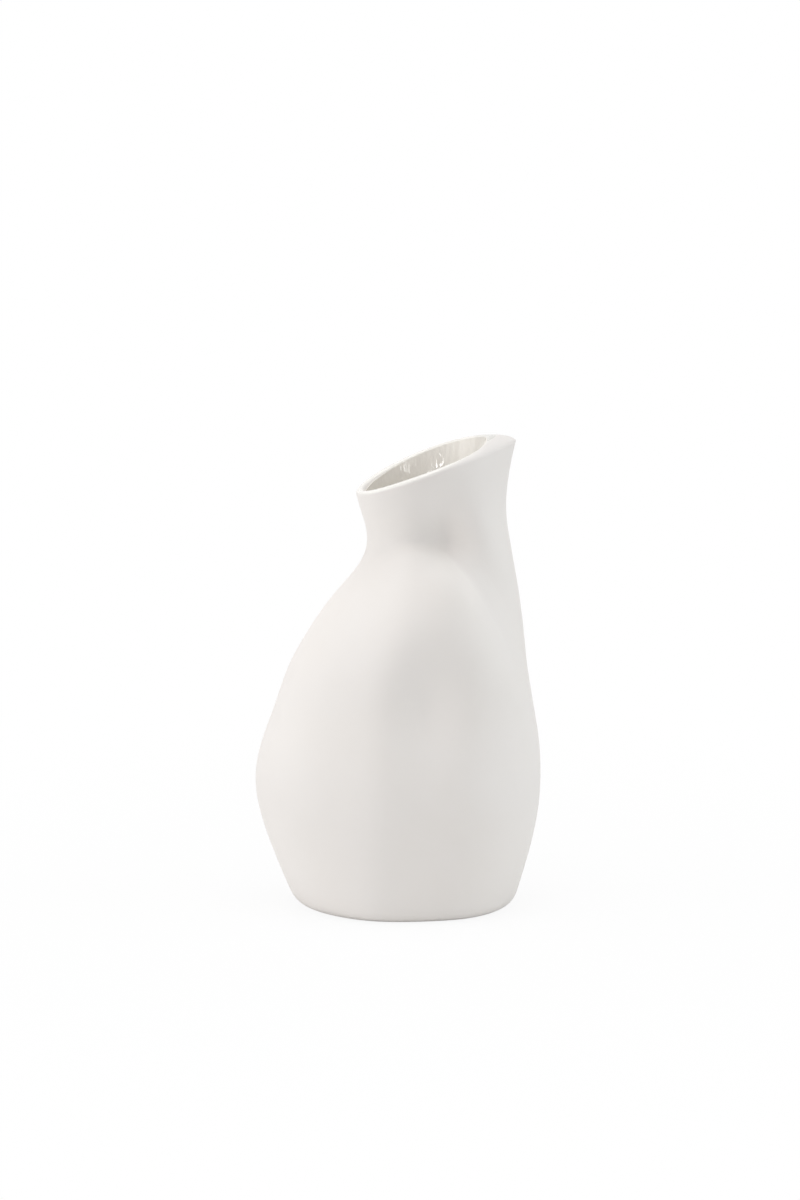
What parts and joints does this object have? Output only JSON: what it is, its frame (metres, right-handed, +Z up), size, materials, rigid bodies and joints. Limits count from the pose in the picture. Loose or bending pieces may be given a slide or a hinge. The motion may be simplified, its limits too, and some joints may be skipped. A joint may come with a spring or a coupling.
{
  "type": "pillow vase",
  "caption": "Free-standing porcelain flower vase with a pillow-shaped belly, a folded brow on its front, a leaning neck and a slanted rim drawn into a pinched spout.",
  "frame": {"origin": "on the surface that the vase stands on, under the middle of its belly", "axes": "+Z up, +X towards the side of the spout, -Y towards the front with the brow"},
  "size_m": [0.1159, 0.0908, 0.192],
  "materials": {
    "bisque_porcelain": "unglazed, matt and fine-grained",
    "clear_glaze": "glossy clear glaze over the white body"
  },
  "bodies": {
    "root": {"vase_body": "bisque_porcelain", "inside_glaze": "clear_glaze"}
  },
  "joints": []
}
